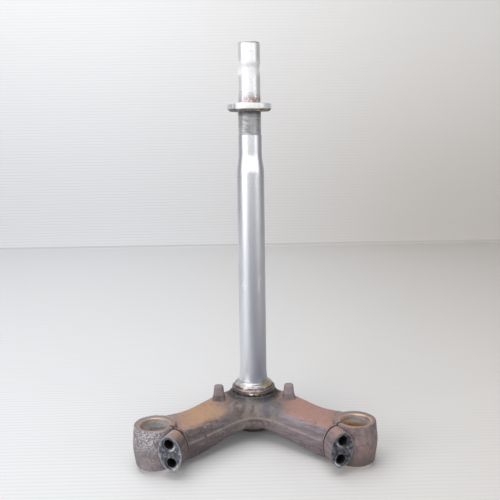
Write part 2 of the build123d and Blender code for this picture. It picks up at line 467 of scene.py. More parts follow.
class Tree:
    """A material's node tree, with short ways to its usual nodes."""

    def __init__(self, name: str) -> None:
        """Starts a material with one Principled shader.

        Args:
            name: The material's name.
        """
        self.material = bpy.data.materials.new(name)
        self.material.use_nodes = True
        self.links = self.material.node_tree.links
        self.nodes = self.material.node_tree.nodes
        self.shader = next(n for n in self.nodes if n.type == "BSDF_PRINCIPLED")
        self.place = self.node("ShaderNodeTexCoord", {}, {}, "Object")
        self.x, self.y, self.z = (
            self.node("ShaderNodeSeparateXYZ", {}, {0: self.place}, axis) for axis in range(3)
        )

    def node(self, kind: str, settings: dict[str, Any], sockets: dict[Any, Any], out: int | str = 0) -> Wire:
        """Adds any node.

        Args:
            kind: The node's type.
            settings: Its own settings, which are set first.
            sockets: Values or links of its sockets, by name or number.
            out: The output that is handed on.

        Returns:
            The chosen output.
        """
        made = self.nodes.new(kind)
        for key, value in settings.items():
            setattr(made, key, value)
        for key, value in sockets.items():
            self.feed(made.inputs[key], value)
        return Wire(self, made.outputs[out])

    def feed(self, socket: bpy.types.NodeSocket, value: Any) -> None:
        """Links a wire to a socket, or sets the socket's own value."""
        if isinstance(value, Wire):
            self.links.new(value.socket, socket)
        elif isinstance(value, tuple) and len(value) == 3 and socket.type == "RGBA":
            socket.default_value = (*value, 1.0)
        else:
            socket.default_value = value

    def blend(self, first: Wire | Colour, second: Wire | Colour, share: Value) -> Wire:
        """Mixes two colours by a share from 0 to 1."""
        return self.node("ShaderNodeMix", {"data_type": "RGBA"}, {0: share, 6: first, 7: second}, 2)

    def stretched(self, x: float, y: float, z: float) -> Wire:
        """The place with each axis multiplied by its own factor."""
        return self.node("ShaderNodeVectorMath", {"operation": "MULTIPLY"}, {0: self.place, 1: (x, y, z)})

    def noise(self, size: float, detail: float = 3.0, rough: float = 0.55, at: Wire | None = None) -> Wire:
        """Fractal noise, mostly between 0.3 and 0.7.

        Args:
            size: The size of its broadest features.
            detail: How many finer layers it has.
            rough: How strong the finer layers are.
            at: Where it is read, instead of the place.

        Returns:
            The noise.
        """
        sockets = {"Vector": at or self.place, "Scale": 1.0 / size, "Detail": detail, "Roughness": rough}
        return self.node("ShaderNodeTexNoise", {}, sockets)

    def specks(self, size: float, share: float, radius: float) -> Wire:
        """Round specks, one to a cell.

        Args:
            size: The cells' size.
            share: The share of the cells that hold a speck.
            radius: The specks' radius, as a part of a cell.

        Returns:
            1 in a speck and 0 outside.
        """
        cells = {"Vector": self.place, "Scale": 1.0 / size}
        distance = self.node("ShaderNodeTexVoronoi", {}, cells, "Distance")
        tint = self.node("ShaderNodeTexVoronoi", {}, cells, "Color")
        pick = self.node("ShaderNodeSeparateColor", {}, {0: tint})
        return distance.ramp(radius * 0.6, radius, 1.0, 0.0) * pick.ramp(1.0 - share, 1.0 - share + 0.01)

    def attribute(self, name: str) -> Wire:
        """One of the piece's own values."""
        return self.node("ShaderNodeAttribute", {"attribute_name": name}, {}, "Fac")

    def distance(self, x: float, y: float, z: float) -> Wire:
        """How far the place is from a point."""
        sockets = {0: self.place, 1: (x, y, z)}
        return self.node("ShaderNodeVectorMath", {"operation": "DISTANCE"}, sockets, "Value")

    def bump(self, height: Wire, depth: float) -> Wire:
        """A normal bent by a height from 0 to 1 of a real depth."""
        return self.node("ShaderNodeBump", {}, {"Height": height, "Strength": 1.0, "Distance": depth})

    def finish(self, **sockets: Any) -> bpy.types.Material:
        """Sets the shader's sockets by their names in small letters.

        Args:
            **sockets: Values or wires; a space in a socket's name is written as _.

        Returns:
            The finished material.
        """
        names = {s.name.lower().replace(" ", "_"): s for s in self.shader.inputs}
        for key, value in sockets.items():
            self.feed(names[key], value)
        return self.material


class ForgedMasks:
    """Wires that the layers of the forging share: noises, the part's regions and the skin's own values."""

    def __init__(self, t: Tree) -> None:
        """Adds the shared nodes to a tree.

        Args:
            t: The material's tree.
        """
        self.up, self.back = t.attribute("up"), t.attribute("back")
        self.crest, self.hollow, self.parting = (t.attribute(k) for k in ("crest", "hollow", "parting"))
        self.bore, self.ear, self.rim = (t.attribute(k) for k in ("bore", "ear", "rim"))
        self.hole, self.slit, self.seat = (t.attribute(k) for k in ("hole", "slit", "seat"))
        self.broad = t.noise(0.022, 4.0)
        self.mid = t.noise(0.006, 4.0, 0.6)
        self.fine = t.noise(0.0014, 3.0, 0.6)
        self.mottle = self.broad * 0.25 + self.mid * 0.4 + self.fine * 0.35
        self.patchy = self.mid * 0.5 + self.broad * 0.5
        self.stain = self.broad.ramp(0.42, 0.60)
        self.out = abs(t.x)
        self.right = t.x.ramp(-0.02, 0.03)
        self.eye = self.out.ramp(0.078, 0.090)
        self.left_eye = t.x.ramp(-0.102, -0.086, 1.0, 0.0)
        self.arm = self.out.ramp(0.018, 0.036) * (1.0 - self.eye)
        self.from_axis = (t.x * t.x + t.y * t.y).root()


@dataclass(frozen=True)
class ForgedFinish:
    """Old forging: brown scale, dull rust on the arms' tops, grease round the hub, machined bores and ears.

    Lengths are metres on the part. A ramp over a noise, whose middle is 0.5, sets how much a layer covers.
    """

    scale_dark: Colour = (0.076, 0.057, 0.059)
    scale_light: Colour = (0.190, 0.149, 0.149)
    scale_right: Colour = (0.245, 0.196, 0.214)
    eye_left: Colour = (0.270, 0.226, 0.236)
    eye_right: Colour = (0.245, 0.158, 0.143)
    rust_orange: Colour = (0.405, 0.240, 0.140)
    rust_left: Colour = (0.380, 0.240, 0.185)
    rust_right: Colour = (0.385, 0.216, 0.178)
    violet_reflection_left: Colour = (0.165, 0.132, 0.144)
    violet_reflection_right: Colour = (0.230, 0.215, 0.262)
    olive: Colour = (0.222, 0.185, 0.163)
    slate: Colour = (0.105, 0.106, 0.125)
    grease: Colour = (0.018, 0.019, 0.025)
    scuff: Colour = (0.620, 0.640, 0.700)
    post: Colour = (0.280, 0.222, 0.232)
    speck: Colour = (0.650, 0.610, 0.560)
    bare_edge: Colour = (0.400, 0.345, 0.330)
    bore_steel: Colour = (0.820, 0.830, 0.860)
    bore_rust: Colour = (0.520, 0.345, 0.245)
    amber: Colour = (0.720, 0.400, 0.110)
    lip: Colour = (0.440, 0.310, 0.230)
    ear_steel: Colour = (0.110, 0.115, 0.135)
    ear_scratch_and_highlight: Colour = (0.430, 0.440, 0.480)
    seat_steel: Colour = (0.860, 0.870, 0.900)
    dark: Colour = (0.012, 0.010, 0.010)
    slit_rust: Colour = (0.140, 0.070, 0.052)
    fork: tuple[float, float] = (0.105, -0.073)
    orange_at: Place = (-0.058, -0.042, -0.004)
    hub_at: Place = (0.0, -0.026, -0.008)
    blot_at: Place = (0.017, -0.036, -0.006)
    drawn_along: tuple[float, float] = (0.89, -0.45)
    grain_depth: float = 0.55 * MM

    def scale(self, t: Tree, m: ForgedMasks) -> Wire:
        """Brown scale: mottled, paler on the right, with violet bands of painted sky reflection and drawn
        streaks along the arms.

        Args:
            t: The material's tree.
            m: The shared wires.

        Returns:
            The colour.
        """
        colour = t.blend(self.scale_dark, self.scale_light, m.mottle.ramp(0.37, 0.63))
        colour = t.blend(colour, self.scale_right, m.right * (m.mid * 0.6 + 0.35))
        sides = t.blend(self.eye_left, self.eye_right, m.right)
        sides = t.blend(sides, self.eye_left, m.right * t.z.ramp(-0.036, -0.016) * 0.5)
        sides = t.blend(sides, self.scale_dark, m.mottle.ramp(0.46, 0.57) * (0.70 - m.right * 0.15))
        sides = t.blend(sides, self.scale_dark, m.right * t.z.ramp(-0.052, -0.028, 0.75, 0.0))
        colour = t.blend(colour, sides, m.eye * 0.9)
        # Painted reflection of the sky: a violet band on the arms where they turn from the top to the front
        band = m.up.ramp(0.18, 0.45) * m.up.ramp(0.70, 0.90, 1.0, 0.0)
        band = band * m.arm * m.out.ramp(0.046, 0.076, 1.0, 0.2)
        violet = t.blend(self.violet_reflection_left, self.violet_reflection_right, m.right)
        colour = t.blend(colour, violet, band * m.patchy.ramp(0.40, 0.54) * 0.7)
        along = (m.out * self.drawn_along[0] + t.y * self.drawn_along[1]) * 0.12
        drawn = t.noise(0.0030, 3.0, 0.6, at=t.node("ShaderNodeCombineXYZ", {}, {0: along, 2: t.z}))
        colour = t.blend(colour, self.scale_dark, m.arm * drawn.ramp(0.46, 0.58) * (0.6 - m.right * 0.2))
        return t.blend(colour, self.bare_edge, m.arm * drawn.ramp(0.30, 0.42, 0.35, 0.0))

    def rust(self, t: Tree, m: ForgedMasks, colour: Wire) -> tuple[Wire, Wire]:
        """Dull rust on the arms' tops, orange in the middle of the left one.

        Args:
            t: The material's tree.
            m: The shared wires.
            colour: The colour so far.

        Returns:
            The colour, and where the rust lies.
        """
        rust = t.blend(self.rust_left, self.rust_right, m.right)
        orange = (t.distance(*self.orange_at) + (m.mid - 0.5) * 0.04).ramp(0.010, 0.036, 1.0, 0.0)
        rust = t.blend(rust, self.rust_orange, orange)
        rust = t.blend(rust, self.scale_light, (m.mid * 0.4 + m.fine * 0.6).ramp(0.48, 0.64) * 0.55)
        on_top = (m.up + (m.mid - 0.5) * 0.4).ramp(0.46, 1.0)
        on_top = on_top * (m.out + (m.mid - 0.5) * 0.02).ramp(0.018, 0.040)
        on_top = on_top * m.out.ramp(0.078, 0.098, 1.0, 0.25)
        rusted = on_top * t.z.ramp(-0.0005, 0.0015, 1.0, 0.0) * m.mottle.ramp(0.30, 0.50)
        return t.blend(colour, rust, rusted), rusted

    def oil(self, t: Tree, m: ForgedMasks, colour: Wire) -> tuple[Wire, Wire]:
        """Olive dirt on the hub, a slate blot on its right and wet grease round the seal.

        Args:
            t: The material's tree.
            m: The shared wires.
            colour: The colour so far.

        Returns:
            The colour, and where the grease is wet.
        """
        hub = (t.distance(*self.hub_at) + (m.broad - 0.5) * 0.03).ramp(0.022, 0.044, 1.0, 0.0)
        caked = (m.broad * 0.3 + m.mid * 0.5 + m.fine * 0.2).ramp(0.44, 0.57) * 0.85
        colour = t.blend(colour, t.blend(self.olive, self.scale_dark, caked), hub * 0.9)
        blot = (t.distance(*self.blot_at) + (m.mid - 0.5) * 0.02).ramp(0.006, 0.017, 1.0, 0.0)
        colour = t.blend(colour, self.slate, blot * m.mottle.ramp(0.36, 0.52) * 0.9)
        side_on = abs(t.x + 0.004).ramp(0.004, 0.014, 0.75, 1.0)
        smear = (m.from_axis + (m.mid - 0.5) * 0.016).ramp(0.0280, 0.0325, 1.0, 0.0) * side_on
        wet = (smear * t.z.ramp(-0.016, -0.006)) | (hub * m.hollow * 0.5)
        wet = wet | (m.from_axis + (m.mid - 0.5) * 0.003).ramp(0.0272, 0.0290, 1.0, 0.0)
        return t.blend(colour, self.grease, wet * m.mid.ramp(0.36, 0.56, 0.52, 0.90)), wet

    def scuffs(self, t: Tree, m: ForgedMasks, colour: Wire) -> tuple[Wire, Wire]:
        """Pale stops, pale scuffs on the left fork clamp, and the rims of both clamps.

        Args:
            t: The material's tree.
            m: The shared wires.
            colour: The colour so far.

        Returns:
            The colour, and where the left clamp is scuffed.
        """
        post = t.z.ramp(0.0, 0.0015) * m.out.ramp(0.020, 0.026)
        colour = t.blend(colour, self.post, post * (0.4 + m.mid * 0.8) * (m.right * 0.25 + 0.75))
        grit = (m.mid * 0.35 + t.noise(0.0011, 3.0, 0.6) * 0.65).ramp(0.49, 0.57)
        scuffed = m.left_eye * t.z.ramp(-0.038, -0.016) * grit
        colour = t.blend(colour, self.scale_dark, m.left_eye * m.mid.ramp(0.40, 0.48, 0.5, 0.0))
        colour = t.blend(colour, self.scuff, scuffed * 0.95)
        colour = t.blend(colour, self.bare_edge, m.left_eye * grit * m.mid.ramp(0.46, 0.60) * 0.6)
        colour = t.blend(colour, self.scale_dark, m.eye * grit * m.right * 0.45)
        across, along = m.out - self.fork[0], t.y - self.fork[1]
        from_fork = (across * across + along * along).root()
        on_top = m.eye * m.up.ramp(0.6, 0.9)
        colour = t.blend(colour, self.scale_light, on_top * from_fork.ramp(0.024, 0.026, 0.7, 0.0))
        ring = on_top * (from_fork + (m.mid - 0.5) * 0.004).ramp(0.0165, 0.0205, 1.0, 0.0)
        colour = t.blend(colour, self.rust_left, ring * (0.45 + m.right * 0.35))
        brim = m.eye * (from_fork + (m.fine - 0.5) * 0.004).bump_at(0.0232, 0.0022)
        brim = brim * t.z.ramp(-0.014, -0.0105) * m.mid.ramp(0.40, 0.54)
        return t.blend(colour, t.blend(self.scuff, self.bare_edge, m.right), brim * 0.7), scuffed

    def wear_and_shade(self, t: Tree, m: ForgedMasks, colour: Wire) -> tuple[Wire, Wire]:
        """Bare edges, a bare parting line and pale flecks; painted shade in hollows, on faces turned back and
        low on the arms.

        Args:
            t: The material's tree.
            m: The shared wires.
            colour: The colour so far.

        Returns:
            The colour, and where the scale is worn off.
        """
        worn = m.crest.ramp(0.3, 0.9) * m.mid.ramp(0.40, 0.58) * 0.6
        worn = worn | (m.parting * m.mid.ramp(0.34, 0.52) * 0.75)
        colour = t.blend(colour, self.bare_edge, worn * 0.75)
        flecks = t.specks(0.0075, 0.16, 0.11) * m.up.ramp(0.3, 0.7, 1.0, 0.0)
        colour = t.blend(colour, self.speck, flecks * 0.9)
        # Painted shade: in hollows, on faces turned back, and low on the arms
        shade = m.hollow.ramp(0.2, 1.0) * t.z.ramp(-0.014, -0.006, 0.7, 0.1)
        shade = shade | (m.back.ramp(0.10, 0.45) * m.up.ramp(0.2, 0.5) * 0.5)
        shade = shade | (t.z.ramp(-0.042, -0.031, 0.5, 0.0) * m.arm * m.patchy.ramp(0.44, 0.54))
        return t.blend(colour, self.dark, shade), worn

    def bore_walls(self, t: Tree, m: ForgedMasks) -> Wire:
        """Bored steel with hoops, rust brown in stains and at the lip, brown painted shade on the left of each
        bore, darker painted shade deep down, amber low down on the right.

        Args:
            t: The material's tree.
            m: The shared wires.

        Returns:
            The colour.
        """
        # Painted shade: the left side of each bore is painted brown, more so on the right clamp
        shaded = t.x.ramp(-0.112, -0.098, 1.0, 0.0) | (m.right * t.x.ramp(0.096, 0.108, 1.0, 0.0))
        brown = (m.stain * 0.2) | (shaded * (0.35 + m.right * 0.40)) | t.z.ramp(-0.0135, -0.0095, 0.0, 0.8)
        walls = t.blend(self.bore_steel, self.bore_rust, brown)
        hoops = t.noise(0.0040, 2.0, 0.5, at=t.stretched(0.22, 0.22, 1.0))
        walls = t.blend(walls, self.dark, hoops.ramp(0.50, 0.62) * 0.28)
        walls = t.blend(walls, self.seat_steel, hoops.ramp(0.36, 0.46, 0.7, 0.0))
        # Amber low down in the bores, strongest on the right
        low_amber = t.z.ramp(-0.0215, -0.0150, 1.0, 0.0) * (m.right * 0.75 + 0.08)
        walls = t.blend(walls, self.amber, low_amber)
        # Painted shade: darker deeper down the bore
        walls = t.blend(walls, self.dark, t.z.ramp(-0.053, -0.026, 0.5, 0.0))
        return t.blend(walls, self.lip, m.up.ramp(0.15, 0.4))

    def ear_faces(self, t: Tree, m: ForgedMasks) -> Wire:
        """Machined ears: dark blotched steel with scratches, a pale edge that is partly rubbed and partly
        painted highlight, and painted glints in arcs below the holes.

        Args:
            t: The material's tree.
            m: The shared wires.

        Returns:
            The colour.
        """
        scratches = (m.mid * 0.6 + m.fine * 0.4).ramp(0.49, 0.60) * (0.8 - m.right * 0.45)
        face = t.blend(self.ear_steel, self.ear_scratch_and_highlight, scratches)
        blotch = t.noise(0.0032, 3.0, 0.6)
        face = t.blend(face, self.dark, blotch.ramp(0.44, 0.58) * (m.right * 0.35 + 0.40))
        # Partly a rubbed edge and partly painted highlight, stronger on the left ear: a pale band round the
        # oval
        face = t.blend(face, self.ear_scratch_and_highlight, (m.rim & 1.0) * (0.75 - m.right * 0.4))
        # Painted glints: bright arcs below the holes on the stem's side
        return t.blend(face, self.seat_steel, m.rim.ramp(1.1, 1.8) * m.mid.ramp(0.34, 0.48))

    def material(self) -> bpy.types.Material:
        """Builds the material from the skin's own values and its place on the part.

        Returns:
            The material.
        """
        t = Tree("forged_steel")
        m = ForgedMasks(t)
        colour, rusted = self.rust(t, m, self.scale(t, m))
        colour, wet = self.oil(t, m, colour)
        colour, scuffed = self.scuffs(t, m, colour)
        colour, worn = self.wear_and_shade(t, m, colour)
        colour = t.blend(colour, self.bore_walls(t, m), m.bore)
        colour = t.blend(colour, self.ear_faces(t, m), m.ear)
        colour = t.blend(colour, self.ear_steel, m.seat)
        colour = t.blend(colour, self.slit_rust, m.slit)
        # Painted shade: the bolt holes' walls are near black
        colour = t.blend(colour, self.dark, m.hole)

        rough = 0.58 + (m.mid - 0.5) * 0.30 + rusted * 0.16 - wet * 0.06 - worn * 0.10
        cut = m.bore | m.ear | m.seat
        rough = rough * (1.0 - cut) + cut * (0.24 + m.stain * 0.10)
        metal = (m.bore * m.up.ramp(0.15, 0.4, 0.55, 0.2)) | (m.ear * 0.7) | (m.seat * 0.6)
        metal = metal | (scuffed * 0.3) | (worn * 0.3)
        grain = m.mid * 0.45 + m.fine * 0.55 - t.specks(0.0042, 0.4, 0.24) * 0.4
        normal = t.bump(grain * (1.0 - m.bore * 0.9), self.grain_depth)
        return t.finish(base_color=colour, roughness=rough, metallic=metal, normal=normal)


@dataclass(frozen=True)
class Scratch:
    """A pale scratch on the stem's front: its middle, its slope, half its length and its strength."""

    x: float
    z: float
    slope: float
    reach: float
    strength: float
    width: float = 1.4 * MM
    wander: float = 4.0 * MM
    front: tuple[float, float] = (-8.0 * MM, -4.0 * MM)

    def mask(self, t: Tree, waver: Wire) -> Wire:
        """Marks the scratch: a line x = x0 + slope (z - z0) that wavers with a noise.

        Args:
            t: The material's tree.
            waver: A noise around 0.5.

        Returns:
            Its strength on the line, and 0 elsewhere.
        """
        off = t.x - (t.z - self.z) * self.slope + (waver - 0.5) * self.wander
        length = t.z.bump_at(self.z, self.reach).ramp(0.0, 0.4)
        return off.bump_at(self.x, self.width) * length * self.strength * t.y.ramp(*self.front, 1.0, 0.0)


@dataclass(frozen=True)
class StemFinish:
    """Bright drawn steel with a dull grey thread, fine scratches and a rust patch above the nut."""

    steel: Colour = (0.840, 0.850, 0.890)
    bright: Colour = (0.840, 0.840, 0.850)
    cloudy: Colour = (0.660, 0.670, 0.720)
    dusky_shade: Colour = (0.372, 0.382, 0.448)
    thread: Colour = (0.640, 0.640, 0.645)
    soot_and_shade: Colour = (0.060, 0.056, 0.052)
    rust: Colour = (0.310, 0.190, 0.145)
    bore: Colour = (0.150, 0.135, 0.125)
    bore_from: float = 11.65 * MM
    groove: tuple[float, float] = (350.0 * MM, 363.0 * MM)
    top: float = 384.0 * MM
    thread_low: float = 287.2 * MM
    thread_high: float = 312.0 * MM
    rust_low: float = 320.0 * MM
    rust_high: float = 334.0 * MM
    bright_from: tuple[float, float] = (318.0 * MM, 340.0 * MM)
    dusky_up_to: tuple[float, float] = (10.0 * MM, 220.0 * MM)
    pits_from: tuple[float, float] = (190.0 * MM, 230.0 * MM)
    scratch: Colour = (0.930, 0.940, 0.960)
    scratches: tuple[Scratch, ...] = (
        Scratch(-9.4 * MM, 126.0 * MM, 0.28, 5.0 * MM, 0.55),
        Scratch(-8.0 * MM, 122.5 * MM, 0.34, 4.5 * MM, 0.5),
        Scratch(7.4 * MM, 126.0 * MM, 0.05, 13.0 * MM, 0.4),
    )
    grain_depth: float = 0.03 * MM

    def material(self) -> bpy.types.Material:
        """Builds the material by height up the stem.

        Returns:
            The material.
        """
        t = Tree("stem_steel")
        cloud = t.noise(0.02, 4.0, at=t.stretched(1.0, 1.0, 0.3))
        streak = t.noise(0.0012, 3.0, 0.6, at=t.stretched(1.0, 1.0, 0.03))
        lathe = t.noise(0.0007, 2.0, 0.5, at=t.stretched(0.02, 0.02, 1.0))
        spot = t.noise(0.0035, 4.0, 0.65)
        inside = (t.x * t.x + t.y * t.y).root().ramp(self.bore_from, self.bore_from + 0.0001, 1.0, 0.0)
        inside = inside * t.z.ramp(self.top - 0.0015, self.top, 1.0, 0.0)
        grooved = t.z.ramp(self.groove[0] - 0.002, self.groove[0])
        grooved = grooved * t.z.ramp(self.groove[1], self.groove[1] + 0.002, 1.0, 0.0)
        inside = inside * grooved.ramp(0.0, 0.01, 1.0, 0.0)
        dull = t.z.ramp(self.thread_low - 0.0002, self.thread_low + 0.0002)
        dull = dull * t.z.ramp(self.thread_high, self.thread_high + 0.003, 1.0, 0.0)

        clouded = cloud.ramp(0.45, 0.70) * 0.55 + streak.ramp(0.55, 0.75) * 0.25
        colour = t.blend(self.steel, self.cloudy, clouded)
        colour = t.blend(colour, self.bright, t.z.ramp(*self.bright_from))
        # Painted shade and reflection: the lower stem is darker and bluer, more so to the right
        shaded = t.z.ramp(*self.dusky_up_to, 0.95, 0.0) * (t.x.ramp(-0.009, 0.004) * 0.85 + 0.22)
        colour = t.blend(colour, self.dusky_shade, shaded)
        scored = t.noise(0.0016, 3.0, 0.6, at=t.stretched(0.16, 0.16, 1.0))
        colour = t.blend(colour, self.thread, dull * 0.9)
        colour = t.blend(colour, self.steel, dull * scored.ramp(0.52, 0.66) * 0.7)
        colour = t.blend(colour, self.soot_and_shade, dull * scored.ramp(0.34, 0.46, 0.35, 0.0))
        # Painted shadow of the nut: the thread darkens just below it
        nut_shadow = dull * (t.z + (scored - 0.5) * 0.006).ramp(self.thread_high - 0.007, self.thread_high)
        colour = t.blend(colour, self.soot_and_shade, nut_shadow * 0.55)
        patch = t.z.ramp(self.rust_low, self.rust_low + 0.002)
        patch = patch * t.z.ramp(self.rust_low + 0.003, self.rust_high, 1.0, 0.0)
        patch = patch * (t.x.ramp(-0.010, 0.006) * 0.45 + 0.55) * spot.ramp(0.38, 0.52)
        colour = t.blend(colour, self.rust, patch * 0.95)
        near = t.z.bump_at(self.rust_high - 0.002, 0.004) | (t.z.ramp(*self.pits_from) * 0.25)
        pits = t.specks(0.0024, 0.50, 0.34) * near
        colour = t.blend(colour, self.soot_and_shade, pits * 0.8)
        scratched = functools.reduce(operator.or_, (scratch.mask(t, spot) for scratch in self.scratches))
        colour = t.blend(colour, self.scratch, scratched)
        colour = t.blend(colour, self.bore, inside)

        rough = 0.33 + cloud * 0.08 + (streak - 0.5) * 0.14 + dull * 0.06 + patch * 0.25 + inside * 0.2
        metal = 1.0 - patch * 0.75 - inside * 0.5 - pits * 0.5 - grooved * 0.4 - scratched * 0.75
        metal = metal - t.z.ramp(self.rust_low, self.rust_high) * 0.42
        height = lathe * 0.35 + streak * 0.25 + spot * 0.4 - pits * 0.6
        normal = t.bump(height, self.grain_depth)
        return t.finish(base_color=colour, roughness=rough, metallic=metal, normal=normal)


@dataclass(frozen=True)
class RaceFinish:
    """Ground bearing steel with brown and pinkish rings, dark turned lines, a black band at its foot that is
    partly old grease and partly painted shade, and painted glints low on the front.
    """

    steel: Colour = (0.660, 0.650, 0.650)
    brown: Colour = (0.200, 0.140, 0.120)
    pink: Colour = (0.360, 0.280, 0.275)
    amber: Colour = (0.380, 0.280, 0.120)
    black: Colour = (0.025, 0.023, 0.024)
    glint: Colour = (0.950, 0.940, 0.900)
    yellow_glint: Colour = (0.620, 0.500, 0.080)
    foot: float = 2.0 * MM
    lines: tuple[float, ...] = (4.9 * MM, 6.9 * MM, 7.8 * MM)
    amber_at: Place = (14.0 * MM, -10.0 * MM, 11.0 * MM)
    glint_height: float = 2.8 * MM
    glint_at: float = -3.0 * MM
    yellow_at: float = 2.2 * MM

    def material(self) -> bpy.types.Material:
        """Builds the material from rings by height.

        Returns:
            The material.
        """
        t = Tree("race_steel")
        mid = t.noise(0.005, 4.0, 0.6)
        ring = t.noise(0.0009, 3.0, 0.7, at=t.stretched(0.04, 0.04, 1.0))
        stain = (ring * 0.7 + mid * 0.3).ramp(0.42, 0.60)
        colour = t.blend(self.steel, self.brown, stain * 0.8)
        below = t.z.ramp(self.lines[-1], self.lines[-1] + 0.001, 1.0, 0.0)
        colour = t.blend(colour, t.blend(self.pink, self.brown, stain), below * 0.85)
        amber = (t.distance(*self.amber_at) + (mid - 0.5) * 0.02).ramp(0.004, 0.014, 1.0, 0.0)
        amber = amber * mid.ramp(0.42, 0.58)
        colour = t.blend(colour, self.amber, amber * 0.8)
        # Partly old grease and partly painted shade: a black band at the race's foot, over the seal
        grease_and_shade = t.z.ramp(self.foot + 0.0003, self.foot + 0.0014, 1.0, 0.0)
        turned_lines = ring.ramp(0.60, 0.66) * 0.6
        for line in self.lines:
            turned_lines = turned_lines | (t.z.bump_at(line, 0.0005) * mid.ramp(0.34, 0.48))
        colour = t.blend(colour, self.black, (grease_and_shade | turned_lines) * 0.85)
        # Painted highlights: a white glint and a yellow one low on the front
        low_front = t.z.bump_at(self.glint_height, 0.0013) * t.y.ramp(-0.022, -0.018, 1.0, 0.0)
        glint = t.x.bump_at(self.glint_at, 0.0042) * low_front
        yellow_glint = t.x.bump_at(self.yellow_at, 0.0026) * low_front
        colour = t.blend(colour, self.glint, glint.ramp(0.2, 0.5))
        colour = t.blend(colour, self.yellow_glint, yellow_glint.ramp(0.2, 0.5))
        rough = 0.34 + mid * 0.14 + stain * 0.10
        metal = 0.95 - grease_and_shade * 0.7 - amber * 0.3
        normal = t.bump(ring * 0.7 + mid * 0.3, 0.06 * MM)
        return t.finish(base_color=colour, roughness=rough, metallic=metal, normal=normal)


@dataclass(frozen=True)
class SealFinish:
    """Black rubber, shiny with old grease and with pale grit in it."""

    rubber: Colour = (0.024, 0.024, 0.030)
    worn: Colour = (0.150, 0.150, 0.165)
    grit: Colour = (0.600, 0.580, 0.480)
    grit_at: Place = (0.0, -24.7 * MM, 1.0 * MM)

    def material(self) -> bpy.types.Material:
        """Builds the material.

        Returns:
            The material.
        """
        t = Tree("seal_rubber")
        mid, fine = t.noise(0.004, 4.0, 0.6), t.noise(0.0008, 2.0)
        front = t.distance(*self.grit_at).ramp(0.003, 0.009, 1.0, 0.15)
        grit = t.specks(0.0024, 0.35, 0.42) * front
        colour = t.blend(self.rubber, self.worn, mid.ramp(0.45, 0.65))
        colour = t.blend(colour, self.grit, grit * 0.9)
        rough = mid.ramp(0.38, 0.62, 0.22, 0.55) + grit * 0.2
        normal = t.bump(mid * 0.6 + fine * 0.4 + grit * 0.5, 0.2 * MM)
        return t.finish(base_color=colour, roughness=rough, normal=normal)


@dataclass(frozen=True)
class NutFinish:
    """Bright zinc plate, dark under the bevel with oil and painted shade, painted shade in the slots' hollows
    and on the left, with rubbed edges.
    """

    zinc: Colour = (0.900, 0.900, 0.905)
    cloudy: Colour = (0.740, 0.740, 0.745)
    oil: Colour = (0.040, 0.037, 0.037)
    old_oil: Colour = (0.260, 0.185, 0.085)
    shaded: Colour = (0.560, 0.585, 0.620)
    low: float = 312.0 * MM
    bevel: float = 3.3 * MM

    def material(self) -> bpy.types.Material:
        """Builds the material; the bevel and the underside darken by height.

        Returns:
            The material.
        """
        t = Tree("nut_steel")
        broad, mid = t.noise(0.009, 4.0), t.noise(0.0022, 4.0, 0.65)
        bevel_top = self.low + self.bevel
        # Oil and painted shade: the bevel and the underside darken by height
        below = (t.z + (mid - 0.5) * 0.0016).ramp(bevel_top - self.bevel * 0.3, bevel_top, 1.0, 0.0)
        below = below * mid.ramp(0.36, 0.50, 0.75, 1.0)
        # Painted shade: the slots' hollows darken
        below = below | (t.attribute("hollow").ramp(0.3, 0.9) * 0.6)
        colour = t.blend(self.zinc, self.cloudy, (broad * 0.6 + mid * 0.4).ramp(0.46, 0.68) * 0.6)
        colour = t.blend(colour, self.shaded, t.x.ramp(-0.020, -0.010, 0.9, 0.0))
        oil = t.blend(self.oil, self.old_oil, t.noise(0.0030, 3.0, 0.6).ramp(0.48, 0.62))
        colour = t.blend(colour, oil, (below * 0.92) | (t.specks(0.0030, 0.10, 0.18) * 0.8))
        colour = t.blend(colour, self.zinc, t.attribute("crest").ramp(0.3, 0.9) * (1.0 - below) * 0.6)
        rough = 0.40 + (mid - 0.5) * 0.3 + below * 0.1
        metal = 0.5 - below * 0.4
        normal = t.bump(mid * 0.7 + broad * 0.3, 0.07 * MM)
        return t.finish(base_color=colour, roughness=rough, metallic=metal, normal=normal)


def dress(piece: bpy.types.Object, node: str, material: bpy.types.Material) -> bpy.types.Object:
    """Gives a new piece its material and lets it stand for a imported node.

    Args:
        piece: The new piece.
        node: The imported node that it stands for.
        material: The finish.

    Returns:
        The piece.
    """
    piece.data.materials.append(material)
    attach(piece, "root")
    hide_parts(node)
    LOG.info("%s: %d triangles", piece.name, sum(len(p.vertices) - 2 for p in piece.data.polygons))
    return piece


